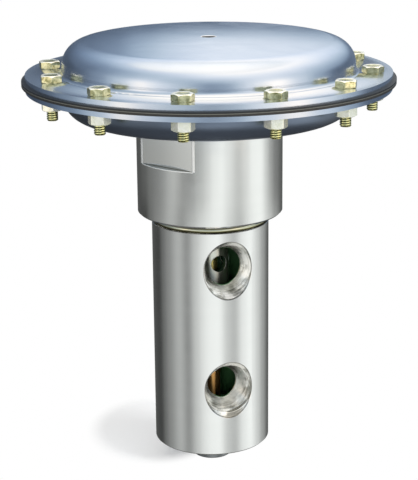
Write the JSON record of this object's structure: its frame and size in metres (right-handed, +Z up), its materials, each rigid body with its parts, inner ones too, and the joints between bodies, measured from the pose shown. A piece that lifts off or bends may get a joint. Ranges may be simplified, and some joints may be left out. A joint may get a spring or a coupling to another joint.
{
  "type": "pressure reducing regulator",
  "caption": "Dome-loaded pressure reducing regulator: round barrel body with threaded inlet and outlet ports, flatted collar, and a bolted pressed-steel diaphragm casing on top.",
  "frame": {"origin": "middle of the foot's lower face, on the axis of the stem", "axes": "+Z up along the stem towards the crown of the casing; -Y out of the two pipe ports"},
  "size_m": [0.2142, 0.2142, 0.256],
  "materials": {
    "barrel_steel": "fine turned, satin",
    "plug_steel": "turned, dull",
    "case_steel": "pressed steel, blue bright zinc plate",
    "fastener_zinc": "yellow zinc plate",
    "inner_steel": "plain machined",
    "cage_steel": "turned, bright",
    "spring_steel": "drawn wire",
    "brass": "turned",
    "bronze": "sintered bronze",
    "rubber": "moulded, dull",
    "seat_plastic": "plain fluoropolymer"
  },
  "bodies": {
    "housing": {"body": "barrel_steel", "collar": "barrel_steel", "bottom_plug": "plug_steel", "lower_bush": "bronze", "bottom_seal": "rubber", "joint_ring": "brass", "collar_seal": "rubber", "lower_case": "case_steel", "upper_case": "case_steel", "case_seal": "rubber", "case_nut": "inner_steel", "loading_boss": "case_steel", "flange_gasket": "rubber", "diaphragm": "rubber", "case_bolts": "fastener_zinc", "case_nuts": "fastener_zinc", "stem_bush": "bronze", "bush_clip": "inner_steel", "seat_ring": "inner_steel", "seat_seal": "rubber", "seat_cage": "cage_steel", "return_spring": "spring_steel"},
    "valve_stem": {"stem": "brass", "lower_plate": "inner_steel", "upper_plate": "inner_steel", "stem_washer": "inner_steel", "stem_nut": "inner_steel", "valve_plug": "brass", "seat_disc": "seat_plastic", "disc_retainer": "brass", "spring_seat": "inner_steel", "spring_clip": "inner_steel"}
  },
  "joints": [
    {"name": "stem_slide", "type": "slide", "parent": "housing", "child": "valve_stem", "axis": [0, 0, 1], "range_m": [-0.004, 0], "stiffness_N_per_m": 6100, "springref_m": 0.006, "deforming": ["return_spring", "diaphragm"]}
  ]
}
